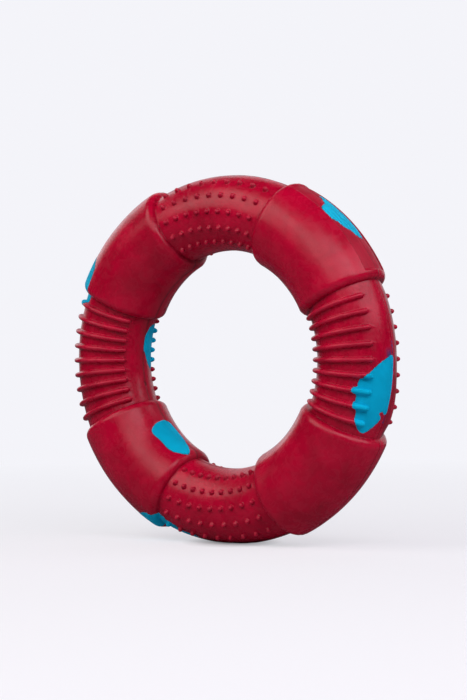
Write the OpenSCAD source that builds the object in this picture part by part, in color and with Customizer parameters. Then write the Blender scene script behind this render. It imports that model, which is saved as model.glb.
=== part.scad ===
// A rubber chew ring that stands upright on its rim, with its axis along Y and its front face towards -Y.
// It is two equal half mouldings, bonded face to face at the seam plane y = 0 round a sealed air core. The
// rear half is the front one turned over about the diagonal through the panel, so nubs lie behind ribs.
// Angles: phi goes round the ring, from +X (0) over the top (90). psi goes round the tube, from its outer
// side (0) over the front (90) to its inner side (180).

/* [Ring] */
// Radius of the tube's centre line
ring_r = 57.5; // [50:0.5:75]
// Diameter of the plain tube
tube_d = 29.5; // [26:0.5:32]
// Diameter of the sealed air core
core_d = 16; // [8:0.5:18]
// Depth of the flat that the ring stands on
foot_depth = 0.5; // [0.2:0.1:1]

/* [Sleeves] */
// Diameter of the smooth raised sleeves
sleeve_d = 35; // [33:0.5:38]
// Angle that each sleeve takes round the ring
sleeve_span = 42.6; // [36:0.2:46]
// Radius of the rounded shoulder at each end of a sleeve
shoulder_r = 3; // [2:0.1:4]

/* [Nubs] */
// Number of nubs along a row
nub_columns = 9; // [5:1:11]
// Number of rows of nubs over the tube
nub_rows = 5; // [3:1:5]
// Angle round the tube between rows
row_pitch = 25; // [20:1:27]
// Diameter of a nub
nub_d = 2.1; // [1.8:0.1:2.8]
// Height of a nub's rounded top over the tube
nub_h = 1.5; // [1.2:0.1:2]

/* [Ribs] */
// Number of ribs in a section
rib_count = 9; // [5:1:11]
// Width of a rib
rib_w = 2.2; // [1.6:0.1:2.8]
// Height of a rib's rounded top over the tube
rib_h = 1.75; // [1.4:0.05:2.2]
// Angle that a rib takes over the tube, between the centres of its round ends
rib_sweep = 102; // [80:1:110]

/* [Panel] */
// Width of the bare recessed panel across the seam
panel_w = 13.4; // [10:0.2:16]
// Angle that the panel takes round the ring
panel_span = 36.6; // [28:0.2:38]
// Depth of the panel
panel_depth = 0.45; // [0.3:0.05:0.8]

/* [Inlays] */
// Thickness of an inlay of the second rubber, where it lies on the smallest diameter that it reaches
inlay_t = 1.6; // [1.2:0.1:2.4]

/* [Hidden] */
$fn = 96;
// Facets of a circle as small as a nub or a rib
fine_fn = 24;
// Angle left free between a sleeve's foot and the nearest nub or rib
end_gap = 3.7;
// How far a cut runs past what it cuts
overrun = 1;
red = [0.66, 0.06, 0.15];
cyan = [0, 0.6, 0.78];

tube_r = tube_d / 2;
sleeve_r = sleeve_d / 2;
core_r = core_d / 2;
// Angle from a section's middle to the next sleeve's
diagonal = 360 / 8;
// Half of the angle between the middles of a nub field's first and last columns, or of a rib field's
field_half = diagonal - sleeve_span / 2 - end_gap;
// Angle at the ring's centre that a shoulder takes
shoulder_turn = asin(shoulder_r / ring_r);
// Half of the angle that the smooth barrel of a sleeve takes
barrel_half = sleeve_span / 2 - shoulder_turn;
foot_z = ring_r + tube_r - foot_depth;
reach = max(sleeve_r, tube_r + rib_h, tube_r + nub_h) + overrun;

// Where the two kinds of section lie on a half moulding, as phi of their middles
nub_sections = [90, 270];
rib_sections = [0, 180];

// Outline of the patch on the lower left sleeve: phi from the sleeve's middle, as a share of barrel_half,
// and psi
lower_shares = [
    [-0.437, 176], [-0.366, 185], [0.71, 185], [0.96, 178], [0.985, 166], [0.97, 158], [0.9, 153.5],
    [0.765, 151.5], [0.492, 151], [0.142, 150.7], [-0.022, 146.3], [-0.186, 147.4], [-0.273, 151], [-0.371, 162]];
// Each patch of the second rubber: the radius that its inlay's thickness is measured from, and as [phi, psi]
// on the ring's surface its middle and its outline
panel_patch = [sleeve_r - panel_depth, [47, -1], [
    [57, -8], [54.5, 1], [52.3, 7.5], [51.3, 18], [49.8, 21.6], [46, 21.6], [44, 16], [41.5, 12.5], [40, 5],
    [38.2, -1.5], [37.5, -9], [39, -18], [43, -21.6], [50, -21.6], [55, -17]]];
right_patch = [tube_r, [-10.5, 30], [
    [1, -4], [0.5, 10], [-1, 24], [-3, 35], [-4.3, 42], [-5.5, 47], [-6, 54], [-8.5, 55.5], [-10, 63],
    [-11, 56.5], [-13.5, 55], [-14.5, 57.5], [-16, 52], [-18.7, 49.5], [-22, 39.5], [-22.2, 29],
    [-20.5, 18], [-18.4, 3], [-18, -4]]];
lower_patch = [sleeve_r, [231, 165], [for (p = lower_shares) [5 * diagonal + p[0] * barrel_half, p[1]]]];
upper_patch = [tube_r, [152.5, 38], [
    [143.5, 36], [145.6, 53], [148.7, 61], [153, 62], [157, 63], [159, 61], [160.3, 52], [161.6, 46],
    [162, 34], [160, 22], [155, 14], [149, 15], [145, 24]]];
left_patch = [tube_r, [173, 206], [
    [161.3, 200], [161.8, 188], [163.6, 175], [178, 175], [179.5, 190], [183, 197.5], [185.4, 204],
    [183, 212], [182.5, 223], [180, 232], [172, 236], [164, 231], [162.4, 221], [160.5, 208]]];
bottom_patch = [tube_r, [247, 34], [
    [236.5, 24], [238, 32.5], [240.9, 48], [242.5, 49], [244.2, 51.5], [246, 56], [248, 49], [251.7, 46.5],
    [252.8, 36.5], [254, 33.8], [256.5, 32.5], [258.3, 29], [256, 20], [250, 12], [242, 12], [238, 16]]];

// Radius of the tube at phi: the sleeves' in the middle of each quarter, the plain tube's elsewhere
function surface_r(phi) = abs((phi + 360) % 90 - diagonal) < sleeve_span / 2 ? sleeve_r : tube_r;

// A surface point p = [phi, psi], seen straight along the surface's normal at m = [phi, psi]:
// how far it lies from m round the ring, and how far round the tube
function seen_from(p, m) =
    let (r = surface_r(p[0]),
         out = ring_r + r * cos(p[1]),
         ahead = out * cos(p[0] - m[0]) - ring_r)
    [out * sin(p[0] - m[0]), r * sin(p[1]) * cos(m[1]) - ahead * sin(m[1])];

// A length of tube of radius r, on the front side of the seam, its middle at phi = 0
module half_tube(r, span) {
    rotate([0, 0, -span / 2]) rotate_extrude(angle = span) translate([ring_r, 0]) intersection() {
        circle(r = r);
        translate([-r, 0]) square([2 * r, r]);
    }
}

// The plain tube between two sleeves, which ends inside their shoulders
module section() {
    half_tube(tube_r, 90 - sleeve_span + shoulder_turn);
}

// The rounded shoulder that closes a sleeve, rooted in it, with its flat end hidden in the tube
module shoulder() {
    rotate([-90, 0, 0]) rotate([0, 0, 180]) rotate_extrude(angle = 180) union() {
        translate([0, -overrun]) square([sleeve_r - shoulder_r, shoulder_r + overrun]);
        intersection() {
            translate([sleeve_r - shoulder_r, 0]) circle(r = shoulder_r);
            square([sleeve_r, shoulder_r]);
        }
    }
}

// The smooth length of a raised sleeve, its middle at phi = 0
module sleeve_barrel() {
    half_tube(sleeve_r, 2 * barrel_half);
}

// The two rounded ends of a sleeve
module sleeve_ends() {
    for (side = [0, 1])
        mirror([0, side, 0]) rotate([0, 0, barrel_half])
            translate([ring_r, 0, 0]) shoulder();
}

// A round stud with a domed top, square to the tube at psi
module stud(psi, d, h) {
    translate([ring_r, 0, 0]) rotate([0, 90 - psi, 0]) translate([0, 0, tube_r - d / 2])
        rotate_extrude($fn = fine_fn) union() {
            square([d / 2, h]);
            translate([0, h]) intersection() {
                circle(d = d);
                square(d / 2);
            }
        }
}

// Rows of nubs over one section of the tube
module nub_field() {
    for (column = [0 : nub_columns - 1], row = [0 : nub_rows - 1])
        rotate([0, 0, field_half * (2 * column / (nub_columns - 1) - 1)])
            stud(90 + row_pitch * (row - (nub_rows - 1) / 2), nub_d, nub_h);
}

// One rib over the tube: a ridge with a rounded crest and a domed end on each side
module rib() {
    translate([ring_r, 0, 0]) rotate([90, 0, 0]) rotate([0, 0, 90 - rib_sweep / 2])
        rotate_extrude(angle = rib_sweep) translate([tube_r - rib_w / 2, 0]) union() {
            translate([0, -rib_w / 2]) square([rib_h, rib_w]);
            translate([rib_h, 0]) circle(d = rib_w, $fn = fine_fn);
        }
    for (side = [-1, 1])
        stud(90 + side * rib_sweep / 2, rib_w, rib_h);
}

// Ribs over one section of the tube
module rib_field() {
    for (i = [0 : rib_count - 1])
        rotate([0, 0, field_half * (2 * i / (rib_count - 1) - 1)]) rib();
}

// The panel's recess, which runs across the seam on the outer side of one sleeve
module panel_recess() {
    rotate([0, 0, diagonal - panel_span / 2]) rotate_extrude(angle = panel_span)
        translate([ring_r, 0]) intersection() {
            difference() {
                circle(r = sleeve_r + overrun);
                circle(r = sleeve_r - panel_depth);
            }
            translate([0, -panel_w / 2]) square([sleeve_r + overrun, panel_w]);
        }
}

// One kind of form on a half moulding's outside, wherever the moulding has it
module form(kind) {
    if (kind == "sections")
        for (quarter = [0 : 3])
            rotate([0, 0, 90 * quarter]) section();
    if (kind == "barrels")
        difference() {
            for (quarter = [0 : 3])
                rotate([0, 0, diagonal + 90 * quarter]) sleeve_barrel();
            panel_recess();
        }
    if (kind == "ends")
        for (quarter = [0 : 3])
            rotate([0, 0, diagonal + 90 * quarter]) sleeve_ends();
    if (kind == "nubs")
        for (phi = nub_sections)
            rotate([0, 0, phi]) nub_field();
    if (kind == "ribs")
        for (phi = rib_sections)
            rotate([0, 0, phi]) rib_field();
}

// One half moulding, less its half of the core and less its children
module half_moulding() {
    for (kind = ["sections", "barrels", "ends", "nubs", "ribs"])
        difference() {
            form(kind);
            core();
            children();
        }
}

// Turns a half moulding over about the diagonal through the panel, to make it the rear one
module turned_over() {
    rotate(a = 180, v = [1, 1, 0]) children();
}

// The air core, which both halves close round
module core() {
    rotate_extrude() translate([ring_r, 0]) circle(r = core_r);
}

// The space of a patch's pocket: straight in from its outline, down to a floor that runs round the tube
module pocket(patch) {
    surface = patch[0];
    middle = patch[1];
    outline = patch[2];
    difference() {
        rotate([0, 0, middle[0]]) translate([ring_r, 0, 0]) rotate([0, -middle[1], 0])
            rotate(a = 120, v = [1, 1, 1]) linear_extrude(height = reach)
                polygon([for (p = outline) seen_from(p, middle)]);
        rotate_extrude() translate([ring_r, 0]) circle(r = surface - inlay_t);
    }
}

// What lies below the flat that the ring stands on
module below_foot() {
    translate([-reach, -foot_z - reach, -reach]) cube([2 * reach, reach, 2 * reach]);
}

// Stands the ring on its flat, with the flat's middle at the origin
module standing() {
    translate([0, 0, foot_z]) rotate([90, 0, 0]) children();
}

// The inlay that fills a patch's pocket, with the outside of the kinds of form that it lies on
module inlay(patch, kinds) {
    for (kind = kinds)
        intersection() {
            form(kind);
            pocket(patch);
        }
}

// The same, in the half that is turned over
module rear_inlay(patch, kinds) {
    for (kind = kinds)
        intersection() {
            turned_over() form(kind);
            pocket(patch);
        }
}

module front_half() {
    color(red) standing() difference() {
        half_moulding()
            for (patch = [panel_patch, right_patch, lower_patch, upper_patch, bottom_patch])
                pocket(patch);
        below_foot();
    }
}

module rear_half() {
    color(red) standing() difference() {
        turned_over() half_moulding()
            for (patch = [panel_patch, left_patch])
                turned_over() pocket(patch);
        below_foot();
    }
}

module panel_front_inlay() {
    color(cyan) standing() inlay(panel_patch, ["barrels"]);
}

module panel_rear_inlay() {
    color(cyan) standing() rear_inlay(panel_patch, ["barrels"]);
}

module right_rib_inlay() {
    color(cyan) standing() inlay(right_patch, ["sections", "ribs"]);
}

module lower_left_inlay() {
    color(cyan) standing() inlay(lower_patch, ["sections", "barrels", "ends"]);
}

module upper_left_inlay() {
    color(cyan) standing() inlay(upper_patch, ["sections", "barrels", "ends", "ribs"]);
}

module left_nub_inlay() {
    color(cyan) standing() rear_inlay(left_patch, ["sections", "nubs"]);
}

module bottom_inlay() {
    color(cyan) standing() inlay(bottom_patch, ["sections", "barrels", "ends", "nubs"]);
}

front_half();
rear_half();
panel_front_inlay();
panel_rear_inlay();
right_rib_inlay();
lower_left_inlay();
upper_left_inlay();
left_nub_inlay();
bottom_inlay();
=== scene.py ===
import bpy
import numpy as np
from mathutils import Matrix, Vector


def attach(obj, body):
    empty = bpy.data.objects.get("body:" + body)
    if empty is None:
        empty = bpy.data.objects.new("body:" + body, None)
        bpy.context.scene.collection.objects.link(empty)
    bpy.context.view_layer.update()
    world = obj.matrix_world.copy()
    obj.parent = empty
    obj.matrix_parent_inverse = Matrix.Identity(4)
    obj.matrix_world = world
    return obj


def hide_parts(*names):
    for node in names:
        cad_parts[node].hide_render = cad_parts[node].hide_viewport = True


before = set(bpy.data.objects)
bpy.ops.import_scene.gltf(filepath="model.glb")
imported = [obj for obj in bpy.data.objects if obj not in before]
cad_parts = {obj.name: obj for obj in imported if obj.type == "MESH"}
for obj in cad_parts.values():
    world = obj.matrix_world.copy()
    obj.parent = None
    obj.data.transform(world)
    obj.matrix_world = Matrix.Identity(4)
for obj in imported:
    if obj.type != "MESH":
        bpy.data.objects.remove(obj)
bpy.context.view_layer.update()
mm = 0.001   # the forms below are worked out in millimetres and degrees

# The ring, in the CAD source's own sizes, or close to them where a form is rounder here. phi goes
# round the ring from +X over the top, psi goes round the tube from its outer side (0) over the half's
# own face (90) to its inner side (180)
ring = dict(
    radius=57.5, tube=14.75, core=8.0,   # of the ring's middle line, its tube and the tube's air core
    footDepth=0.5,                       # how deep the flat under the ring is cut
    sleeve=17.5, sleeveSpan=42.6, shoulder=3.0,
    nub=dict(half=1.06, height=1.55, fillet=0.26, round=2.3),
    rib=dict(half=1.12, height=1.80, fillet=0.30, round=2.6, sweep=102.0),
    blunt=0.62, footSpan=2.4,            # how blunt nubs and ribs are, and how wide their feet
    pitch=5.0, count=9, fieldEnd=30.0,   # the columns of a field of nubs or ribs, and where it ends
    rowPitch=25.0, lastRow=2,            # rows of nubs lie at -2 to 2 pitches from the middle one
    panel=dict(span=36.2, edge=22.9, depth=0.42, slope=0.8, endSlope=0.32,
               ridge=0.13, ridgeAt=24.1, ridgeWidth=0.9, ridgeEnd=1.2),
)
centreHeight = ring["radius"] + ring["tube"] - ring["footDepth"]
fieldReach = (ring["count"] - 1) / 2 * ring["pitch"]   # from a field's middle to its last column
# half the angle of a sleeve's plain barrel, up to where its shoulders start to turn
barrelHalf = ring["sleeveSpan"] / 2 - np.degrees(np.arcsin(ring["shoulder"] / ring["radius"]))


def cosd(angle):
    return np.cos(np.radians(angle))


def sind(angle):
    return np.sin(np.radians(angle))


def bell(distance, width, power=2):
    # exp(-|distance / width| ** power): 1 in the middle, falling off to both sides
    return np.exp(-np.abs(distance / width) ** power)


def softStep(distance, width):
    # from 0 to 1 in a straight slope of this width, whose middle is at distance 0
    return np.clip(distance / width + 0.5, 0, 1)


def fromAxis(psi, r=ring["tube"]):
    # distance from the ring's axis, ring radius + r * cos(psi)
    return ring["radius"] + r * cosd(psi)


def ringAngle(phi, half):
    # the half's own phi as the whole ring's, from -180 to 180: the rear half is turned over, so that
    # its phi is 90 - phi of the ring
    return ((phi if half == "front" else 90 - phi) + 180) % 360 - 180


# The unevenness of the moulded rubber, in millimetres and degrees
mould = dict(
    flash=0.10, flashWidth=0.28,       # the thin ridge of rubber left along the outer parting line
    gutter=0.11, gutterAt=0.7, gutterWidth=0.45,   # the hollow beside it
    groove=0.26, grooveWidth=0.32,     # the open line that is left along the inner one
    slit=0.70, slitAt=-167, slitReach=1.3,   # where that line has opened, on the left
    step=0.09, outerStep=0.35, stepWidth=2.4,   # how far one half stands over the other, less outside
    wave=0.014, waveStart=3.0,         # slow unevenness of the hand-finished rubber
    swell=0.35, swellAt=32, swellWidth=22,   # how far the rear half stands out behind the right ribs
    lowSwell=0.95, lowAt=-16, lowWidth=9,    # and how much more near the lower sleeve
    swellEnd=24.5, swellFade=5,
    wander=6.5, wanderAt=-1, wanderWidth=20,   # degrees that the parting line strays to the rear there
    wanderReach=38,                    # psi up to which the surface is drawn along with it
)


def bump(distance, form):
    # a domed stud: height * (1 - (distance / half) ** round) ** blunt, and a hollow curve at its foot,
    # fillet * (1 - reach) ** 3, that ties it to the tube
    share = np.clip(distance / form["half"], 0, 1)
    dome = form["height"] * (1 - share ** form["round"]) ** ring["blunt"]
    reach = (distance - form["half"] + form["fillet"]) / (ring["footSpan"] * form["fillet"])
    return np.maximum(dome, form["fillet"] * (1 - np.clip(reach, 0, 1)) ** 3)


def fieldOffsets(phi, psi, middle):
    # millimetres along the ring from the nearest of the field's evenly pitched columns, and which
    # points lie in the field's section
    along = (phi - middle + 180) % 360 - 180
    column = np.clip(np.round(along / ring["pitch"]) * ring["pitch"], -fieldReach, fieldReach)
    return np.radians(along - column) * fromAxis(psi), np.abs(along) < ring["fieldEnd"]


def pastShoulder(phi, psi):
    # millimetres along the ring past the line where the nearest sleeve's shoulder starts to turn
    return fromAxis(psi) * sind(np.abs((phi % 90) - 45) - barrelHalf)


def outside(phi, psi, half):
    # radius of the tube at phi, psi: the plain tube, or a raised sleeve whose shoulders are quarter
    # circles, sleeve - shoulder + sqrt(shoulder ** 2 - past ** 2), less the panel, plus the nubs and
    # ribs, plus the parting line's ridge and lines and a slow wave, which vary as sums of sines
    past, shoulder = pastShoulder(phi, psi), ring["shoulder"]
    barrel = ring["sleeve"] - shoulder + np.sqrt(shoulder ** 2 - np.clip(past, 0, shoulder) ** 2)
    r = np.where(past < shoulder, np.maximum(barrel, ring["tube"]), ring["tube"])

    panel = ring["panel"]
    fromEnd = panel["span"] / 2 - np.abs(phi % 360 - 45)
    inPanel = softStep(panel["edge"] - psi, panel["slope"]) * softStep(fromEnd, panel["endSlope"])
    ridge = panel["ridge"] * bell(psi - panel["ridgeAt"], panel["ridgeWidth"])
    r = r - panel["depth"] * inPanel + ridge * softStep(fromEnd, panel["ridgeEnd"])

    for middle in (90, 270):
        along, near = fieldOffsets(phi, psi, middle)
        row = np.clip(np.round((psi - 90) / ring["rowPitch"]), -ring["lastRow"], ring["lastRow"])
        across = np.radians(psi - 90 - row * ring["rowPitch"]) * ring["tube"]
        r = r + np.where(near, bump(np.hypot(along, across), ring["nub"]), 0)
    for middle in (0, 180):
        along, near = fieldOffsets(phi, psi, middle)
        pastEnd = np.clip(np.abs(psi - 90) - ring["rib"]["sweep"] / 2, 0, None)
        across = np.radians(pastEnd) * ring["tube"]
        r = r + np.where(near, bump(np.hypot(along, across), ring["rib"]), 0)

    fromSeam = np.radians(np.minimum(psi, 180 - psi)) * ring["tube"]
    world = ringAngle(phi, half)
    uneven = 0.55 + 0.45 * sind(7 * world + 40) * sind(3 * world + 10)   # from 0.1 to 1 round the ring
    r = r + mould["flash"] * uneven * (psi < 90) * bell(fromSeam, mould["flashWidth"])
    gape = mould["groove"] * (0.5 + 0.5 * uneven)
    gape = gape + mould["slit"] * bell(world - mould["slitAt"], mould["slitReach"], 4)
    r = r - gape * (psi > 90) * bell(fromSeam, mould["grooveWidth"])
    r = r - mould["gutter"] * bell(fromSeam - mould["gutterAt"], mould["gutterWidth"])
    stand = (0.6 + 0.4 * sind(2 * world + 75)) * np.where(psi > 90, 1.0, mould["outerStep"])
    stand = stand * (1 if half == "front" else -1)
    r = r + mould["step"] * stand * bell(fromSeam, mould["stepWidth"], 1)
    if half == "rear":
        swell = mould["swell"] + mould["lowSwell"] * bell(world - mould["lowAt"], mould["lowWidth"])
        swell = swell * np.clip((mould["swellEnd"] - np.abs(world)) / mould["swellFade"], 0, 1)
        r = r + swell * bell(psi - mould["swellAt"], mould["swellWidth"])
    side = 0 if half == "front" else 70   # so that the halves' waves differ
    wave = sind(9 * phi + 25 + side) * sind(2.5 * psi + 15)
    wave = wave + 0.6 * sind(21 * phi + 4 * psi + side) + 0.5 * sind(14 * phi - 7 * psi + 130)
    return r + mould["wave"] * wave * np.clip(fromSeam / mould["waveStart"], 0, 1)


# The grid of one half moulding: columns as millimetres from the middles of nubs and ribs and from
# the lines where shoulders start, or as shares of the space between, and rows in degrees
grid = dict(
    nubOffsets=[0, 0.34, 0.61, 0.82, 0.95, 1.06, 1.22, 1.5],
    ribOffsets=[0, 0.38, 0.68, 0.89, 1.03, 1.12, 1.24, 1.38, 1.6],
    shoulderSteps=[-1.5, -0.62, -0.32, -0.12, 0.3, 0.8, 1.3, 1.75, 2.1, 2.4, 2.65, 2.84, 2.95, 2.9896],
    barrelColumns=36, beforeField=(0.06, 0.25, 0.6), afterField=(0.4, 0.75, 0.94),
    seamRows=[0, 0.55, 1.1, 1.9, 3.0, 4.6, 7.2, 11, 16, 26.6],
    panelRows=[21.6, 22.5, 23.3, 24.1, 25.0],
    nubRows=[0, 1.4, 2.5, 3.4, 3.95, 4.4, 5.0, 6.2],   # to each side of a row of nubs
    coreRows=5,
)


def guideLines(psi):
    # every column of the grid as phi over psi, anchor + asin(offset / distance from the axis), so that
    # the columns run along the walls of ribs, nubs and shoulders
    lines, steps, around = [], grid["shoulderSteps"], fromAxis(psi)

    def line(anchor, offset):
        return anchor + np.degrees(np.arcsin(offset / around))

    for sleeve in (45, 135, 225, 315):
        lines += [line(sleeve - barrelHalf, -step) for step in steps[::-1]]
        first, last = line(sleeve - barrelHalf, -steps[0]), line(sleeve + barrelHalf, steps[0])
        shares = np.linspace(0, 1, grid["barrelColumns"] + 2)[1:-1]
        lines += [first + (last - first) * share for share in shares]
        lines += [line(sleeve + barrelHalf, step) for step in steps]
        section = sleeve + 45
        offsets = np.array(grid["nubOffsets"] if section % 180 == 90 else grid["ribOffsets"])
        offsets = np.concatenate([-offsets[:0:-1], offsets])
        foot = line(sleeve + barrelHalf, steps[-1])
        fieldStart = section - fieldReach - np.degrees(offsets[-1] / around)
        lines += [foot + (fieldStart - foot) * share for share in grid["beforeField"]]
        for k in range(ring["count"]):
            middle = section - fieldReach + k * ring["pitch"]
            lines += [line(middle, offset) for offset in offsets]
        fieldStop = section + fieldReach + np.degrees(offsets[-1] / around)
        nextFoot = line(section + 45 - barrelHalf, -steps[-1])
        lines += [fieldStop + (nextFoot - fieldStop) * share for share in grid["afterField"]]
    return np.array(lines)


def rowAngles():
    # psi of the rows, closer together over the rows of nubs, at the parting line and the panel's edge
    rows = set(grid["seamRows"]) | {180 - angle for angle in grid["seamRows"]} | set(grid["panelRows"])
    for k in range(-ring["lastRow"], ring["lastRow"] + 1):
        middle = 90 + k * ring["rowPitch"]
        rows |= {middle + side * offset for offset in grid["nubRows"] for side in (-1, 1)}
        if k > -ring["lastRow"]:
            rows.add(middle - ring["rowPitch"] / 2)
    return np.array(sorted(rows))


def stray(phi, half):
    # degrees that the outer parting line lies off its plane, towards the rear, in the half's own sense:
    # wander * exp(-((phi - wanderAt) / wanderWidth) ** 4)
    off = mould["wander"] * bell(ringAngle(phi, half) - mould["wanderAt"], mould["wanderWidth"], 4)
    return off if half == "front" else -off


def place(phi, psi, r, half):
    # the half's own phi, psi and r as a point of the ring in metres: out = ring radius + r * cos(psi),
    # then (out * cos(phi), -r * sin(psi), out * sin(phi)), and never below the floor. The rear half is
    # the same moulding turned over about the diagonal through the panel
    psi = psi - stray(phi, half) * np.clip(1 - psi / mould["wanderReach"], 0, 1)
    out = fromAxis(psi, r)
    x, y, z = out * cosd(phi), -r * sind(psi), out * sind(phi)
    if half == "rear":
        x, y, z = z, -y, x
    return np.stack([x, y, np.maximum(z + centreHeight, 0)], -1) * mm


# The patches of the second rubber: their outlines as phi, psi on the front half's side, read from the
# photograph. psi below 0 and past 180 is on the rear half. radius is that of the surface under the
# patch, ragged how far its edge wanders, both in millimetres, cuts how often its corners are cut.
patches = dict(
    panel_inlay=dict(
        nodes=dict(front="panel_front_inlay", rear="panel_rear_inlay"),
        radius=17.05, ragged=0.30, cuts=1, brushed=1.0,
        outline=[(57.2, -6.9), (55.6, -2.5), (54.4, 0.8), (53.2, 4.8), (52.2, 7.6), (51.9, 12),
                 (51.2, 18.7), (49.8, 21.8), (48.3, 21.9), (45.9, 21.6), (45.2, 18.6), (44, 16),
                 (42.6, 14.2), (41.5, 12.4), (40.8, 8.4), (39.9, 5), (38.7, 2.2), (38.2, -1.5), (37.4, -7),
                 (37.8, -10.8), (39.8, -15.3), (43.5, -20.7), (48, -21.6), (52.4, -20), (55.4, -15.4)]),
    right_rib_inlay=dict(
        nodes=dict(front="right_rib_inlay"), radius=14.75, ragged=0.07, cuts=1,
        outline=[(0.4, -9), (1.6, -2), (0.9, 4), (0.4, 10.4), (-1, 24), (-3.1, 35.2), (-4.3, 41.9),
                 (-4.4, 46.2), (-5.6, 49.2), (-6.1, 54.2), (-7.6, 56.2), (-8.6, 55.6), (-8.9, 62),
                 (-9.4, 63.9), (-10.5, 63.9), (-10.9, 60.5), (-11.2, 56.3), (-13.4, 55.6), (-13.7, 58.8),
                 (-14.7, 59.6), (-15.6, 58), (-16, 52.1), (-18.2, 51), (-19.4, 51.4), (-20.4, 48.6),
                 (-22.3, 41.5), (-23, 35), (-22.8, 29.2), (-20.5, 18.1), (-18.4, 8), (-17.4, 7.2),
                 (-16.6, 12.5), (-15.9, 12.5), (-15.7, 6), (-16.9, 0.6), (-16.2, -6), (-13, -9), (-10, -14),
                 (-7.2, -16), (-3.5, -13)]),
    lower_left_inlay=dict(
        nodes=dict(front="lower_left_inlay", rear="lower_left_inlay"), radius=17.5, ragged=0.05, cuts=1,
        outline=[(217.4, 170), (217.1, 176), (217.6, 181), (218.7, 185.5), (222.6, 189), (227.6, 189.5),
                 (233.2, 186.5), (238.9, 179.6), (242, 173.5), (244.3, 169), (245.8, 163.4), (244.5, 158),
                 (241.7, 153), (239, 150.2), (234.9, 148.4), (230.8, 149.6), (227.5, 149.6), (224.6, 147.2),
                 (222.2, 146.9), (220, 150.7), (218.1, 159.5)]),
    upper_left_inlay=dict(
        nodes=dict(front="upper_left_inlay"), radius=15.5, ragged=0.05, cuts=1,
        outline=[(144, 38), (145.6, 53.3), (147.2, 57.8), (148.7, 60.6), (152.7, 61.6), (157, 61.6),
                 (158.6, 60), (159.4, 55), (160.4, 52), (161.4, 48), (161.9, 38), (161.4, 26), (159, 18),
                 (154, 14.5), (149, 16), (145.4, 24)]),
    left_nub_inlay=dict(
        nodes=dict(rear="left_nub_inlay"), radius=14.75, ragged=0.06, cuts=2,
        outline=[(160.8, 199), (160.8, 193), (162.4, 187.3), (164.7, 183.6), (167.4, 180.8), (169, 177),
                 (173.5, 177), (175, 181.2), (177.4, 185.4), (180.7, 190.2), (183.4, 195.8), (185.4, 204),
                 (183.4, 211), (182.4, 222), (180.5, 231), (172, 235.5), (164.4, 231.5), (162.4, 222),
                 (160.9, 209)]),
    bottom_inlay=dict(
        nodes=dict(front="bottom_inlay"), radius=15.5, ragged=0.06, cuts=1,
        outline=[(236.3, 24), (238, 32.1), (239.4, 41), (240.9, 48.6), (242.5, 49.3), (244.2, 51.6),
                 (245.8, 55.4), (247.2, 50.6), (248.8, 46.2), (251.2, 45.2), (252.3, 41), (253.1, 36.4),
                 (255.4, 34.2), (258, 31), (260.6, 28.6), (261, 25.6), (258, 21.5), (250, 15), (242, 14),
                 (238, 17)]),
)
# Spots of the second rubber's paint beside the seam: phi, psi and radius in millimetres
paintSpecks = [
    (1.5, 5.8, 0.5), (1.1, 9.6, 0.5), (0.5, 8.0, 0.45), (2.4, 3.2, 0.4), (3.0, 0.9, 0.45), (4.1, 0.5, 0.4),
    (5.2, 0.7, 0.3), (2.0, 0.6, 0.4), (-17.5, 3.0, 0.4), (-19, 0.8, 0.3),
]
# The plate that fills each patch and the pocket under it, in millimetres
inlay = dict(
    depth=0.9, proud=0.09, edge=0.02, rim=0.4,   # it stands proud, less at its edge, with a rim this wide
    ledge=0.5, sunk=0.55,              # the pocket starts inside the patch's edge
    step=0.25,                         # the outline's sides are split this finely
    cell=0.22, snap=0.47,              # the plate's cells, and how much of one a point moves to the edge
    reach=1.2, rowReach=1.0,           # degrees that the grid goes beyond the patch
    margin=1.5, far=9.0,               # distances are measured this far out, and are this beyond
    sharp=55,                          # degrees past which an edge is shaded sharp
)


def smoothOutline(points, cuts):
    # corner cutting: each corner is replaced by the two points a quarter along its sides
    p = np.array(points, float)
    for _ in range(cuts):
        following = np.roll(p, -1, 0)
        p = np.stack([0.75 * p + 0.25 * following, 0.25 * p + 0.75 * following], 1).reshape(-1, 2)
    return p


def flatten(phi, psi, patch):
    # phi, psi as millimetres along and across the surface about the patch: (phi - middle) * distance
    # from the axis, and psi * radius, in radians
    along = np.radians(phi - patch["middle"]) * fromAxis(psi, patch["radius"])
    return np.stack([along, np.radians(psi) * patch["radius"]], -1)


def unflatten(flat, patch):
    # the other way: psi = across / radius, phi = middle + along / distance from the axis
    psi = np.degrees(flat[..., 1] / patch["radius"])
    return patch["middle"] + np.degrees(flat[..., 0] / fromAxis(psi, patch["radius"])), psi


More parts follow.
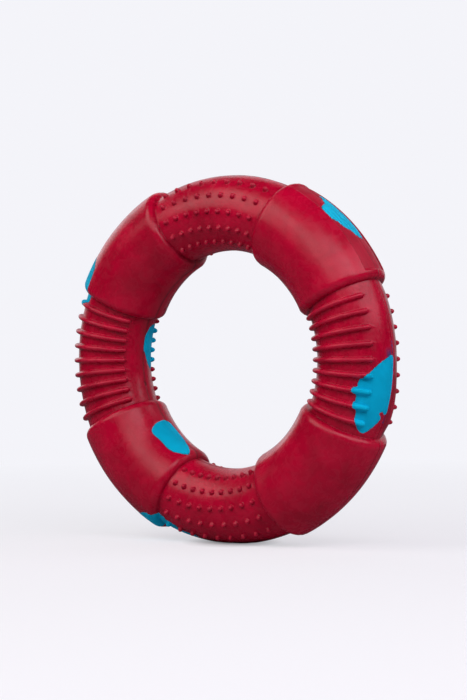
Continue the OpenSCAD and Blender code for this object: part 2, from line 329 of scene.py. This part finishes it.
def patchEdge(patch, half):
    # the outline in the half's own angles, flattened, its sides split and pushed sideways by a sum of
    # sines, so that the edge is ragged: sin(1.9 k + 0.7) * sin(0.37 k) + 0.6 * sin(0.83 k + 2)
    p = smoothOutline(patch["outline"], patch["cuts"])
    if half == "rear":
        p = np.stack([90 - p[:, 0], -p[:, 1] % 360], -1)
        p[:, 1] = np.where(p[:, 1] > 270, p[:, 1] - 360, p[:, 1])
    # place() draws the surface along with the parting line, so the outline is drawn back first
    off, reach = stray(p[:, 0], half), mould["wanderReach"]
    p[:, 1] = np.where(p[:, 1] < reach, (p[:, 1] + off) / (1 + off / reach), p[:, 1])
    patch["middle"] = p[:, 0].mean()
    flat = flatten(p[:, 0], p[:, 1], patch)
    ends = np.roll(flat, -1, 0)
    count = np.maximum(1, np.round(np.hypot(*(ends - flat).T) / inlay["step"])).astype(int)
    start = np.repeat(flat, count, 0)
    span = np.repeat((ends - flat) / count[:, None], count, 0)
    dense = start + span * np.concatenate([np.arange(c) for c in count])[:, None]
    side = np.roll(dense, -1, 0) - np.roll(dense, 1, 0)
    side = np.stack([-side[:, 1], side[:, 0]], -1) / (np.hypot(*side.T)[:, None] + 1e-9)
    k = np.arange(len(dense))
    push = np.sin(k * 1.9 + 0.7) * np.sin(k * 0.37) + 0.6 * np.sin(k * 0.83 + 2.0)
    return dense + side * (push * patch["ragged"])[:, None]


def signedDistance(points, edge):
    # distance to the nearest side of the closed edge, positive inside by the even-odd rule, with the
    # nearest point itself
    a, b = edge, np.roll(edge, -1, 0)
    d = b - a
    rel = points[:, None] - a[None]
    t = np.clip((rel * d).sum(-1) / ((d * d).sum(-1) + 1e-12), 0, 1)
    gap = rel - t[..., None] * d
    away = np.hypot(gap[..., 0], gap[..., 1])
    best = away.argmin(1)
    rows = np.arange(len(points))
    nearest = points - gap[rows, best]
    crosses = (a[:, 1] > points[:, None, 1]) != (b[:, 1] > points[:, None, 1])
    atX = a[:, 0] + (points[:, None, 1] - a[:, 1]) * d[:, 0] / (d[:, 1] + 1e-12)
    within = (crosses & (points[:, None, 0] < atX)).sum(1) % 2 == 1
    return np.where(within, 1, -1) * away[rows, best], nearest


def patchDepth(phi, psi, patch, edge):
    # millimetres inside the patch's edge, below 0 outside it, with each point flattened and its nearest
    # point on the edge
    wrapped = (phi - patch["middle"] + 180) % 360 - 180
    flat = flatten(wrapped + patch["middle"], psi, patch)
    margin = inlay["margin"]
    near = ((flat > edge.min(0) - margin) & (flat < edge.max(0) + margin)).all(-1)
    depth, nearest = np.full(phi.shape, -inlay["far"]), flat.copy()
    depth[near], nearest[near] = signedDistance(flat[near], edge)
    return depth, flat, nearest


def fineGrid(patch, edge):
    # the half's own grid about the patch, its cells split until they are about one plate cell wide,
    # with the points that lie within half a cell of the patch's edge moved onto it
    edgePhi, edgePsi = unflatten(edge, patch)
    low, high = np.clip([edgePsi.min() - inlay["rowReach"], edgePsi.max() + inlay["rowReach"]], 0, 180)
    rows = np.linspace(low, high, int((high - low) / inlay["cell"] * np.radians(patch["radius"])) + 2)
    lines = guideLines(rows)
    turn = np.round((lines.mean() - patch["middle"]) / 360) * 360
    turn = turn + 360 * ((edgePhi.max() + turn) < lines[0].mean())
    first, last = edgePhi.min() + turn - inlay["reach"], edgePhi.max() + turn + inlay["reach"]
    lines = lines[(lines.max(1) > first) & (lines.min(1) < last)]
    around = fromAxis(rows[len(rows) // 2], patch["radius"])
    fine = [lines[:1]]
    for left, right in zip(lines[:-1], lines[1:]):
        gap = np.radians((right - left).max()) * around
        shares = np.arange(1, max(1, int(np.ceil(gap / inlay["cell"]))) + 1)
        fine.append(left + (right - left) * (shares / shares[-1])[:, None])
    phi = np.concatenate(fine)
    psi = np.broadcast_to(rows, phi.shape).copy()
    depth, flat, nearest = patchDepth(phi, psi, patch, edge)
    away = flat - nearest
    length = np.hypot(away[..., 0], away[..., 1]) + 1e-9
    cellAlong = np.abs(np.gradient(flat[..., 0], axis=0))
    cellAcross = np.abs(np.gradient(flat[..., 1], axis=1))
    cell = (np.abs(away[..., 0]) * cellAlong + np.abs(away[..., 1]) * cellAcross) / length
    newPhi, newPsi = unflatten(nearest, patch)
    newPhi = newPhi + np.round((phi - newPhi) / 360) * 360
    snapped = (np.abs(depth) < inlay["snap"] * cell) & (psi > 0) & (psi < 180)
    snapped = snapped & (newPsi > 0.1) & (newPsi < 179.9)   # only the seam's own points lie on it
    phi, psi = np.where(snapped, newPhi, phi), np.where(snapped, newPsi, psi)
    return phi, psi, np.where(snapped, 0, depth)


def newPiece(name, points, faces, material, node):
    # a smooth mesh that stands for one CAD node
    mesh = bpy.data.meshes.new(name)
    mesh.from_pydata(points.tolist(), [], faces.tolist())
    mesh.update()
    mesh.shade_smooth()
    piece = bpy.data.objects.new(name, mesh)
    bpy.context.scene.collection.objects.link(piece)
    mesh.materials.append(material)
    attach(piece, "root")
    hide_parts(node)
    return piece


def pointValues(piece, name, values):
    # one number for each point, which the material reads by this name
    layer = piece.data.attributes.new(name, "FLOAT", "POINT")
    layer.data.foreach_set("value", values.astype(np.float32).ravel())


def pointPlaces(piece, name, places):
    # the same with a place for each point
    layer = piece.data.attributes.new(name, "FLOAT_VECTOR", "POINT")
    layer.data.foreach_set("vector", places.astype(np.float32).ravel())


def strokes(phi, psi):
    # a place on the surface for streaks that run along the ring: phi as a circle of radius 4, so that
    # it closes on itself, and psi / 1.6
    return np.stack([4 * cosd(phi), 4 * sind(phi), psi / 1.6], -1)


# Where the moulding is worn or stained with paint, paler with a painted highlight, darker with painted
# shade, or dull. At and Width are places and widths, in millimetres along the surface, or in degrees
# for the panel; the others are shares
wearAndPaintedLight = dict(
    # how pale the crests are made: a painted highlight, with some wear
    nub=1.9, rib=0.9, full=1.6,                          # their pale crests, full at this height
    shoulder=0.25, shoulderAt=0.9, shoulderWidth=0.6,
    rearEdge=1.3, rearEdgeAt=1.5, rearEdgeWidth=1.0,     # the rear half's edge stands out and is paler, partly worn and partly a painted reflection
    # the rest is painted shade: darker in creases, corners, grooves and lines
    underShoulder=0.35, underStart=0.1, underWidth=0.35, # from here on, dark lines and corners
    innerLine=1.0, innerLineWidth=0.5, outerLine=0.7, outerLineWidth=0.33,
    foot=0.55, footFrom=(0.03, 0.06), footTo=(0.6, 0.35),   # the feet of nubs and ribs, by height
    slit=1.3, slitWidth=0.9,
    panelLine=0.75, panelLineAt=22.6, panelLineWidth=0.7, panelEnd=0.6,
    # the band along the inside is also darkened with painted shade
    insideDull=0.9, insideWidth=2.6,                     # the dull band along the inside of the ring
    seamPaint=0.8, seamPaintAt=-6.5, seamPaintReach=10, seamPaintWidth=0.3,
    speckEdge=1.6,                                       # how softly a spot of paint ends
)


def formShares(phi, psi, half):
    # four shares for each point, each a sum of bells and slopes or the highest of them: how pale a crest
    # is made, a painted highlight with some wear; how dark a crease, corner, groove or line is made, a
    # painted shade; how much of the second rubber's paint lies there; how matt it is, where painted shade
    # also darkens it
    past, world = pastShoulder(phi, psi), ringAngle(phi, half)
    inner, outer = np.radians(180 - psi) * ring["tube"], np.radians(psi) * ring["tube"]
    onSection = np.abs((phi % 90) - 45) >= ring["sleeveSpan"] / 2
    up = np.clip((outside(phi, psi, half) - ring["tube"]) / wearAndPaintedLight["full"], 0, 1) * onSection
    # painted highlight: the tops of nubs and ribs, the shoulders' crests and the rear half's edge are paled,
    # partly for wear
    crest = wearAndPaintedLight["shoulder"] * bell(past - wearAndPaintedLight["shoulderAt"], wearAndPaintedLight["shoulderWidth"])
    crest = crest + up * np.where(np.abs((phi % 180) - 90) < 45, wearAndPaintedLight["nub"], wearAndPaintedLight["rib"])
    if half == "rear":
        crest = crest + wearAndPaintedLight["rearEdge"] * bell(outer - wearAndPaintedLight["rearEdgeAt"], wearAndPaintedLight["rearEdgeWidth"])

    alongPanel = softStep(ring["panel"]["span"] / 2 - np.abs(phi % 360 - 45), wearAndPaintedLight["panelEnd"])
    underShoulder = np.clip(np.abs(past - ring["shoulder"]) - wearAndPaintedLight["underStart"], 0, None)
    (footStart, footRise), (footStop, footFall) = wearAndPaintedLight["footFrom"], wearAndPaintedLight["footTo"]
    atFoot = np.clip((up - footStart) / footRise, 0, 1) * np.clip((footStop - up) / footFall, 0, 1)
    atSlit = bell(world - mould["slitAt"], mould["slitReach"], 4) * bell(inner, wearAndPaintedLight["slitWidth"], 4)
    # painted shade in the crease under each shoulder, along both parting lines, at the feet of nubs and
    # ribs, in the slit and along the panel's edge
    foot = np.max([
        wearAndPaintedLight["underShoulder"] * bell(underShoulder, wearAndPaintedLight["underWidth"]),
        wearAndPaintedLight["innerLine"] * bell(inner, wearAndPaintedLight["innerLineWidth"]),
        wearAndPaintedLight["outerLine"] * bell(outer, wearAndPaintedLight["outerLineWidth"]),
        wearAndPaintedLight["foot"] * atFoot,
        wearAndPaintedLight["slit"] * atSlit,
        wearAndPaintedLight["panelLine"] * alongPanel * bell(psi - wearAndPaintedLight["panelLineAt"], wearAndPaintedLight["panelLineWidth"]),
    ], 0)

    # matt in the panel's recess and along the ring's inside, where painted shade also darkens it
    dullAndShaded = alongPanel * softStep(ring["panel"]["edge"] - psi, ring["panel"]["slope"])
    dullAndShaded = np.maximum(dullAndShaded, wearAndPaintedLight["insideDull"] * bell(inner, wearAndPaintedLight["insideWidth"]))
    # paint that ran into the parting line beside the right patch, and the spots round it
    specks = wearAndPaintedLight["seamPaint"] * bell(world - wearAndPaintedLight["seamPaintAt"], wearAndPaintedLight["seamPaintReach"], 6)
    specks = specks * bell(outer, wearAndPaintedLight["seamPaintWidth"])
    for speckPhi, speckPsi, size in paintSpecks if half == "front" else ():
        along = np.radians(world - speckPhi) * fromAxis(0)
        gap = np.hypot(along, np.radians(psi - speckPsi) * ring["tube"])
        specks = specks + np.clip(wearAndPaintedLight["speckEdge"] - gap / size, 0, 1)
    return np.clip(crest, 0, 2), np.clip(foot, 0, 1), np.clip(specks, 0, 1), dullAndShaded


def closedQuads(columns, rows):
    # quads of a grid that closes on itself both ways, wound so that they face outwards
    i, j = np.meshgrid(np.arange(columns), np.arange(rows), indexing="ij")
    nextI, nextJ = (i + 1) % columns, (j + 1) % rows
    corners = [i * rows + j, nextI * rows + j, nextI * rows + nextJ, i * rows + nextJ]
    return np.stack(corners, -1).reshape(-1, 4)


def openQuads(columns, rows):
    # the same for a grid with four free sides
    i, j = np.meshgrid(np.arange(columns - 1), np.arange(rows - 1), indexing="ij")
    first = i * rows + j
    return np.stack([first, first + rows, first + rows + 1, first + 1], -1).reshape(-1, 4)


def makeInlay(name, node, patch, edge, half, material):
    # a closed plate: the fine grid's quads inside the edge on top, which stand a little proud with a
    # soft rim, the same quads turned round below, and a wall along every side that only one quad has.
    # The rise is edge + (proud - edge) * share * (2 - share), share being the depth over the rim's width
    phi, psi, depth = fineGrid(patch, edge)
    r = outside(phi, psi, half)
    flush = place(phi, psi, r, half)
    normals = np.cross(np.gradient(flush, axis=0), np.gradient(flush, axis=1))
    normals /= np.linalg.norm(normals, axis=-1, keepdims=True) + 1e-12
    share = np.clip(depth / inlay["rim"], 0, 1)
    rise = (inlay["edge"] + (inlay["proud"] - inlay["edge"]) * share * (2 - share)) * mm
    top = (flush + normals * rise[..., None]).reshape(-1, 3)
    top[:, 2] = np.maximum(top[:, 2], 0)
    bottom = place(phi, psi, r - inlay["depth"], half).reshape(-1, 3)
    quads = openQuads(*phi.shape)
    depth = depth.reshape(-1)
    chosen = quads[(depth[quads] >= 0).all(1) & (depth[quads].max(1) > 0)]
    used, index = np.unique(chosen, return_inverse=True)
    quads = index.reshape(-1, 4)
    sides = np.stack([quads, np.roll(quads, -1, 1)], -1).reshape(-1, 2)
    _, first, times = np.unique(np.sort(sides, 1), axis=0, return_index=True, return_counts=True)
    rim = sides[first[times == 1]]
    below = len(used)
    walls = np.stack([rim[:, 1], rim[:, 0], rim[:, 0] + below, rim[:, 1] + below], -1)
    faces = np.concatenate([quads, quads[:, ::-1] + below, walls])
    plate = newPiece(name, np.concatenate([top[used], bottom[used]]), faces, material, node)
    plate.data.set_sharp_from_angle(angle=np.radians(inlay["sharp"]))
    pointValues(plate, "rim", bell(np.tile(depth[used], 2), inlay["rim"], 1))
    pointValues(plate, "brushed", np.full(2 * below, patch.get("brushed", 0.0)))
    pointPlaces(plate, "stroke", np.tile(strokes(phi, psi).reshape(-1, 3)[used], (2, 1)))
    print("made", name, len(faces), "faces")


def makeHalf(half, red, cyan):
    # one half moulding: the skin over psi 0 to 180, closed by a few rows round the air core, with its
    # inlays' plates made on the way and its pockets sunk under them
    rows = rowAngles()
    phi = guideLines(rows)
    psi = np.broadcast_to(rows, phi.shape).copy()
    pocket = np.zeros(phi.shape)
    for patch in patches.values():
        if half not in patch["nodes"]:
            continue
        patch = dict(patch)   # patchEdge() adds its middle
        edge = patchEdge(patch, half)
        node = patch["nodes"][half]
        laps = half == "rear" and node == patch["nodes"].get("front")
        makeInlay(node.replace("inlay", "plate") + ("_rear" if laps else ""), node, patch, edge, half, cyan)
        depth = patchDepth(phi, psi, patch, edge)[0]
        pocket = np.where(depth > inlay["ledge"], inlay["sunk"], pocket)
    skin = place(phi, psi, outside(phi, psi, half) - pocket, half)
    coreRows = grid["coreRows"]
    coreAngles = np.linspace(180, 0, coreRows)
    core = place(*np.broadcast_arrays(phi[:, :1], coreAngles[None], ring["core"]), half)
    points = np.concatenate([skin, core], 1)
    columns, rowCount = points.shape[:2]
    faces = closedQuads(columns, rowCount)
    body = newPiece(half + "_moulding", points.reshape(-1, 3), faces, red, half + "_half")
    blank = np.zeros((columns, coreRows))
    for name, values in zip(("crest", "foot", "specks", "dullAndShaded"), formShares(phi, psi, half)):
        pointValues(body, name, np.concatenate([values, blank], 1))
    places = strokes(phi, psi)
    pointPlaces(body, "stroke", np.concatenate([places, places[:, -coreRows:]], 1))
    print("made", half, "moulding", columns, "x", rowCount, "quads")


redRubber = dict(
    deep=(0.358, 0.0006, 0.0205, 1), full=(0.470, 0.0009, 0.0290, 1), pale=(0.60, 0.060, 0.125, 1),
    stain=(0.006, 0.045, 0.16, 1),   # the second rubber's paint over the red
    roughness=0.240, specular=0.255, dustAndHighlight=0.036, streak=0.014,
)
cyanRubber = dict(
    deep=(0.001, 0.36, 0.58, 1), full=(0.002, 0.45, 0.71, 1), pale=(0.02, 0.56, 0.80, 1),
    roughness=0.60, specular=0.03, dustAndHighlight=0.03, streak=0.03,
)
# The finish that both share, with the strengths of the painted highlight and painted shade. Each
# pattern has the width of its blotches in millimetres, detail, roughness and distortion. The other rows
# of two or four are ramps: a pattern's values where the ramp starts and ends, and what they become
finishAndPaintedLight = dict(
    patterns=dict(
        blotch=(11, 3, 0.55, 0.6), scuff=(4.0, 4, 0.62, 1.2), fine=(0.6, 3, 0.65, 0),
        grain=(0.25, 2, 0.6, 0), spot=(0.8, 1, 0.5, 0), nick=(0.7, 1, 0.5, 1.2),
    ),
    streaks=dict(Scale=1.0, Detail=3.0, Roughness=0.6, Distortion=0.3),   # over the strokes
    blotch=(0.35, 0.68),                                # deep to full colour
    bloom=(0.46, 0.78), bloomGrain=(0.3, 0.75, 0.3, 1.2), paleStreak=(0.56, 0.74),
    spot=(0.70, 0.80, 0, 0.05),
    nick=(0.69, 0.75), nickStretch=(0.9, 0.35, 0.3), nickPlaces=(0.48, 0.62, 0, 0.16),
    # how strongly the crests' painted highlight shows, by the scuff pattern
    crest=(0.3, 0.7, 0.02, 0.09),
    # darkStreak is the rubber's own; dullShade and footShade are painted shade
    darkStreak=(0.40, 0.26, 0, 0.07), dullShade=(0.38, 0.62, 0.22, 0.04), footShade=0.85,
    brushedPale=0.5, brushMarks=(0.46, 0.36, 0, 0.6), rimDark=(0.40, 0.60, 0, 0.45),
    # the dark colour for the rubber's own streaks and marks and for painted shade
    dirtAndShade=0.3,                                           # of the deep colour, in dark places
    roughScuff=(0.36, 0.66, -0.06, 0.12), roughStreak=(0.35, 0.7, -0.02, 0.03),
    roughDull=0.25, roughCrest=0.06,
    scuffBump=(0.35, 0.055), fineBump=(0.45, 0.055), grainBump=(0.45, 0.035),   # strength, millimetres
)


class Nodes:
    # short calls for a material's nodes
    def __init__(self, name):
        self.material = bpy.data.materials.new(name)
        self.material.use_nodes = True
        self.tree = self.material.node_tree
        self.shader = self.tree.nodes["Principled BSDF"]
        self.object = self.add("ShaderNodeTexCoord").outputs["Object"]

    def add(self, kind, **settings):
        node = self.tree.nodes.new(kind)
        for key, value in settings.items():
            if key in node.inputs:
                node.inputs[key].default_value = value
            else:
                setattr(node, key, value)
        return node

    def link(self, output, target):
        self.tree.links.new(output, target)

    def noise(self, size, detail, roughness, distortion, stretch=None):
        # size is the width of one blotch in millimetres, stretch a factor along each axis
        node = self.add("ShaderNodeTexNoise", Scale=1 / (size * mm), Detail=detail, Roughness=roughness,
                        Distortion=distortion)
        source = self.object
        if stretch:
            mapping = self.add("ShaderNodeMapping", Scale=stretch)
            self.link(source, mapping.inputs["Vector"])
            source = mapping.outputs[0]
        self.link(source, node.inputs["Vector"])
        return node.outputs["Fac"]

    def ramp(self, value, low, high, outLow=0.0, outHigh=1.0):
        # low to high becomes outLow to outHigh, and stays there past them
        node = self.add("ShaderNodeMapRange")
        node.inputs["From Min"].default_value = low
        node.inputs["From Max"].default_value = high
        node.inputs["To Min"].default_value = outLow
        node.inputs["To Max"].default_value = outHigh
        self.link(value, node.inputs["Value"])
        return node.outputs["Result"]

    def math(self, operation, a, b):
        node = self.add("ShaderNodeMath", operation=operation)
        for socket, value in zip(node.inputs, (a, b)):
            if isinstance(value, (int, float)):
                socket.default_value = value
            else:
                self.link(value, socket)
        return node.outputs[0]

    def mix(self, factor, a, b):
        # inputs 6 and 7 are the two colours, and output 2 is theirs
        node = self.add("ShaderNodeMix", data_type="RGBA")
        for socket, value in ((node.inputs["Factor"], factor), (node.inputs[6], a), (node.inputs[7], b)):
            if isinstance(value, (int, float, tuple)):
                socket.default_value = value
            else:
                self.link(value, socket)
        return node.outputs[2]

    def attribute(self, name):
        return self.add("ShaderNodeAttribute", attribute_name=name).outputs["Fac"]

    def bump(self, height, strength, distance, normal=None):
        # distance is in millimetres
        node = self.add("ShaderNodeBump", Strength=strength, Distance=distance * mm)
        self.link(height, node.inputs["Height"])
        if normal is not None:
            self.link(normal, node.inputs["Normal"])
        return node.outputs["Normal"]


def rubber(name, look, wornAndShaded):
    # satin moulded rubber: two depths of one colour in slow blotches, a fine pale bloom of dust, nicks
    # and streaks along the ring. Where the flag is set, crests are paler with a painted highlight and some
    # wear, creases, corners, grooves and lines darker with painted shade, the panel and the ring's inside
    # duller and darker with painted shade, and paint lies on it. The plates are brushed, or darker at
    # their rims instead
    n = Nodes(name)
    patterns = finishAndPaintedLight["patterns"]
    blotch, scuff = n.noise(*patterns["blotch"]), n.noise(*patterns["scuff"])
    fine, grain = n.noise(*patterns["fine"]), n.noise(*patterns["grain"])
    spot, nick = n.noise(*patterns["spot"]), n.noise(*patterns["nick"], finishAndPaintedLight["nickStretch"])
    streakNoise = n.add("ShaderNodeTexNoise", **finishAndPaintedLight["streaks"])
    stroke = n.add("ShaderNodeAttribute", attribute_name="stroke")
    n.link(stroke.outputs["Vector"], streakNoise.inputs["Vector"])
    streak = streakNoise.outputs["Fac"]

    colour = n.mix(n.ramp(blotch, *finishAndPaintedLight["blotch"]), look["deep"], look["full"])
    bloom = n.ramp(scuff, *finishAndPaintedLight["bloom"], 0, look["dustAndHighlight"])
    dustAndHighlight = n.math("MULTIPLY", bloom, n.ramp(fine, *finishAndPaintedLight["bloomGrain"]))
    dustAndHighlight = n.math("ADD", dustAndHighlight, n.ramp(streak, *finishAndPaintedLight["paleStreak"], 0, look["streak"]))
    dustAndHighlight = n.math("MAXIMUM", dustAndHighlight, n.ramp(spot, *finishAndPaintedLight["spot"]))
    nicks = n.math("MULTIPLY", n.ramp(nick, *finishAndPaintedLight["nick"]), n.ramp(scuff, *finishAndPaintedLight["nickPlaces"]))
    dustAndHighlight = n.math("MAXIMUM", dustAndHighlight, nicks)
    if wornAndShaded:
        # painted highlight on the crests, partly wear, mixed in with the dust
        dustAndHighlight = n.math("ADD", dustAndHighlight, n.math("MULTIPLY", n.attribute("crest"), n.ramp(scuff, *finishAndPaintedLight["crest"])))
    colour = n.mix(dustAndHighlight, colour, look["pale"])

    dark = n.ramp(streak, *finishAndPaintedLight["darkStreak"])
    if wornAndShaded:
        # painted shade darkens the panel's recess and the ring's inside
        dullAndShaded = n.math("MULTIPLY", n.attribute("dullAndShaded"), n.ramp(streak, *finishAndPaintedLight["dullShade"]))
        # painted shade in creases, corners, grooves and lines
        corner = n.math("MULTIPLY", n.attribute("foot"), finishAndPaintedLight["footShade"])
        dark = n.math("MAXIMUM", corner, n.math("MAXIMUM", dark, dullAndShaded))
    else:
        brushed = n.math("MULTIPLY", n.attribute("brushed"), finishAndPaintedLight["brushedPale"])
        colour = n.mix(brushed, colour, look["pale"])
        rim = n.math("MULTIPLY", n.attribute("rim"), n.ramp(scuff, *finishAndPaintedLight["rimDark"]))
        marks = n.math("MULTIPLY", n.attribute("brushed"), n.ramp(streak, *finishAndPaintedLight["brushMarks"]))
        dark = n.math("MAXIMUM", n.math("MAXIMUM", rim, marks), dark)
    # the dark mix: the rubber's own streaks and marks, and painted shade
    colour = n.mix(dark, colour, tuple(finishAndPaintedLight["dirtAndShade"] * c for c in look["deep"][:3]) + (1,))
    if wornAndShaded:
        colour = n.mix(n.attribute("specks"), colour, look["stain"])
    n.link(colour, n.shader.inputs["Base Color"])

    rough = n.math("ADD", n.ramp(scuff, *finishAndPaintedLight["roughScuff"]), n.ramp(streak, *finishAndPaintedLight["roughStreak"]))
    if wornAndShaded:
        rough = n.math("ADD", rough, n.math("MULTIPLY", n.attribute("dullAndShaded"), finishAndPaintedLight["roughDull"]))
        rough = n.math("ADD", rough, n.math("MULTIPLY", n.attribute("crest"), finishAndPaintedLight["roughCrest"]))
    n.link(n.math("ADD", rough, look["roughness"]), n.shader.inputs["Roughness"])
    n.shader.inputs["Specular IOR Level"].default_value = look["specular"]
    normal = n.bump(scuff, *finishAndPaintedLight["scuffBump"])
    normal = n.bump(fine, *finishAndPaintedLight["fineBump"], normal)
    normal = n.bump(grain, *finishAndPaintedLight["grainBump"], normal)
    n.link(normal, n.shader.inputs["Normal"])
    print("finished", name)
    return n.material


room = dict(
    backdrop=(0.905, 0.905, 0.950, 1),
    floorSize=6.0, floorPaint=(0.47, 0.47, 0.50, 1),   # half the floor's width, in metres
    fadeCentre=(0.17, -0.25, 0), fadeStart=0.25, fadeEnd=0.78,   # where the floor turns into the backdrop
    # to the camera the paper is darker, with a glow instead, so that the shadow on it is a light one, and
    # to gloss it is darker still, so that the rubber's deep red stays clear
    seenPaint=(0.32, 0.32, 0.335, 1), glossPaint=(0.13, 0.13, 0.16, 1),
    # the glow's dip where the ring touches the floor paints a dark contact shadow
    glow=0.625, glowLeast=0.05, glowStart=0.002, glowEnd=0.020,   # less where the ring touches the floor
    skyLight=(0.92, 0.94, 1.0, 1), skyTop=0.02, skyLow=0.01, skyFrom=-0.05, skyTo=0.75,
)
# Each lamp: azimuth from the front towards the right and elevation, in degrees, distance and size in
# metres, and power in watts. The last is a large dim one, which gloss sees as the lit paper behind
lamps = dict(
    leftSoftbox=dict(azimuth=-36, elevation=42, distance=1.0, size=(0.62, 0.80),
                     power=4.6, colour=(1, 0.96, 0.89)),
    frontSoftbox=dict(azimuth=8, elevation=36, distance=1.0, size=(0.60, 0.50),
                      power=2.65, colour=(1, 0.97, 0.95)),
    sideSoftbox=dict(azimuth=50, elevation=42, distance=1.0, size=(0.55, 0.50),
                     power=3.0, colour=(1, 0.91, 0.98)),
    rightSoftbox=dict(azimuth=94, elevation=33, distance=1.0, size=(0.95, 0.60),
                      power=5.4, colour=(1, 0.91, 0.99)),
    leftRearSoftbox=dict(azimuth=-108, elevation=22, distance=1.1, size=(0.60, 0.60),
                         power=1.1, colour=(1, 0.97, 0.97)),
    litBackdrop=dict(azimuth=208, elevation=14, distance=1.5, size=(2.6, 1.8),
                     power=12.0, colour=(0.96, 0.95, 1)),
)
shot = dict(   # fitted to the nubs, the outline and the parting line in the photograph
    azimuth=34.4911, elevation=0.6583, roll=-0.5725, distance=0.718787, lens=94.034,
    shiftX=0.0046788, shiftY=0.0137222,
)


def makeFloor():
    # white paper that takes the ring's shadow and turns into the backdrop away from it
    size = room["floorSize"]
    mesh = bpy.data.meshes.new("studio_floor")
    corners = [(-size, -size, 0), (size, -size, 0), (size, size, 0), (-size, size, 0)]
    mesh.from_pydata(corners, [], [(0, 1, 2, 3)])
    floor = bpy.data.objects.new("studio_floor", mesh)
    bpy.context.scene.collection.objects.link(floor)
    n = Nodes("floor_paper")
    n.shader.inputs["Roughness"].default_value = 1.0
    n.shader.inputs["Specular IOR Level"].default_value = 0.0
    fromMiddle = n.add("ShaderNodeVectorMath", operation="LENGTH")
    n.link(n.object, fromMiddle.inputs[0])
    fromFade = n.add("ShaderNodeVectorMath", operation="DISTANCE")
    fromFade.inputs[1].default_value = room["fadeCentre"]
    n.link(n.object, fromFade.inputs[0])
    fade = n.ramp(fromFade.outputs["Value"], room["fadeStart"], room["fadeEnd"])
    rays = n.add("ShaderNodeLightPath")
    seen = n.math("MAXIMUM", rays.outputs["Is Camera Ray"], rays.outputs["Is Transmission Ray"])
    paint = n.mix(rays.outputs["Is Glossy Ray"], room["floorPaint"], room["glossPaint"])
    n.link(n.mix(seen, paint, room["seenPaint"]), n.shader.inputs["Base Color"])
    backdrop = n.add("ShaderNodeEmission", Color=room["backdrop"], Strength=1.0)
    glow = n.add("ShaderNodeEmission", Color=room["backdrop"])
    # painted contact shadow: the glow is weakest where the ring touches the floor
    near = (room["glowStart"], room["glowEnd"], room["glowLeast"], room["glow"])
    strength = n.ramp(fromMiddle.outputs["Value"], *near)
    n.link(n.math("MULTIPLY", strength, seen), glow.inputs["Strength"])
    paper = n.add("ShaderNodeAddShader")
    n.link(n.shader.outputs[0], paper.inputs[0])
    n.link(glow.outputs[0], paper.inputs[1])
    both = n.add("ShaderNodeMixShader")
    n.link(n.math("MULTIPLY", fade, seen), both.inputs[0])
    n.link(paper.outputs[0], both.inputs[1])
    n.link(backdrop.outputs[0], both.inputs[2])
    n.link(both.outputs[0], n.tree.nodes["Material Output"].inputs["Surface"])
    mesh.materials.append(n.material)
    print("laid the floor")


def makeWorld():
    # light from above that fades towards the horizon; the camera sees the plain pale backdrop
    world = bpy.data.worlds.new("studio")
    world.use_nodes = True
    tree = world.node_tree
    add, link = tree.nodes.new, tree.links.new
    heading = add("ShaderNodeSeparateXYZ")
    link(add("ShaderNodeTexCoord").outputs["Generated"], heading.inputs[0])
    height = add("ShaderNodeMapRange")
    height.interpolation_type = "SMOOTHSTEP"
    ends = {"From Min": "skyFrom", "From Max": "skyTo", "To Min": "skyLow", "To Max": "skyTop"}
    for socket, key in ends.items():
        height.inputs[socket].default_value = room[key]
    link(heading.outputs["Z"], height.inputs["Value"])
    sky = tree.nodes["Background"]
    sky.inputs["Color"].default_value = room["skyLight"]
    link(height.outputs["Result"], sky.inputs["Strength"])
    backdrop = add("ShaderNodeBackground")
    backdrop.inputs["Color"].default_value = room["backdrop"]
    rays = add("ShaderNodeLightPath")
    seen = add("ShaderNodeMath")
    seen.operation = "MAXIMUM"
    link(rays.outputs["Is Camera Ray"], seen.inputs[0])
    link(rays.outputs["Is Transmission Ray"], seen.inputs[1])
    mixer = add("ShaderNodeMixShader")
    link(seen.outputs[0], mixer.inputs[0])
    link(sky.outputs[0], mixer.inputs[1])
    link(backdrop.outputs[0], mixer.inputs[2])
    link(mixer.outputs[0], tree.nodes["World Output"].inputs["Surface"])
    bpy.context.scene.world = world
    print("made the room's light")


def toward(azimuth, elevation):
    # the unit vector from the ring to this azimuth and elevation
    return Vector((sind(azimuth) * cosd(elevation), -cosd(azimuth) * cosd(elevation), sind(elevation)))


def makeLamps():
    centre = Vector((0, 0, centreHeight * mm))
    for name, lamp in lamps.items():
        light = bpy.data.lights.new(name, "AREA")
        light.shape = "RECTANGLE"
        light.size, light.size_y = lamp["size"]
        light.energy = lamp["power"]
        light.color = lamp["colour"]
        out = toward(lamp["azimuth"], lamp["elevation"])
        holder = bpy.data.objects.new(name, light)
        holder.location = centre + out * lamp["distance"]
        holder.rotation_euler = out.to_track_quat("Z", "Y").to_euler()
        bpy.context.scene.collection.objects.link(holder)
    print("lit with", len(lamps), "lamps")


def makeCamera():
    back = toward(shot["azimuth"], shot["elevation"])
    right = Vector((cosd(shot["azimuth"]), sind(shot["azimuth"]), 0))
    up = back.cross(right)
    across = right * cosd(shot["roll"]) + up * sind(shot["roll"])
    upright = up * cosd(shot["roll"]) - right * sind(shot["roll"])
    camera = bpy.data.objects.new("camera", bpy.data.cameras.new("camera"))
    spot = Vector((0, 0, centreHeight * mm)) + back * shot["distance"]
    turned = Matrix((across, upright, back)).transposed().to_4x4()
    camera.matrix_world = Matrix.Translation(spot) @ turned
    camera.data.lens = shot["lens"]
    camera.data.sensor_width = 36
    camera.data.shift_x, camera.data.shift_y = shot["shiftX"], shot["shiftY"]
    bpy.context.scene.collection.objects.link(camera)
    bpy.context.scene.camera = camera
    print("placed the camera")


bpy.context.scene.view_settings.view_transform = "Standard"
makeCamera()
makeWorld()
makeLamps()
makeFloor()
redMaterial = rubber("red_rubber", redRubber, True)
cyanMaterial = rubber("cyan_rubber", cyanRubber, False)
for side in ("front", "rear"):
    makeHalf(side, redMaterial, cyanMaterial)
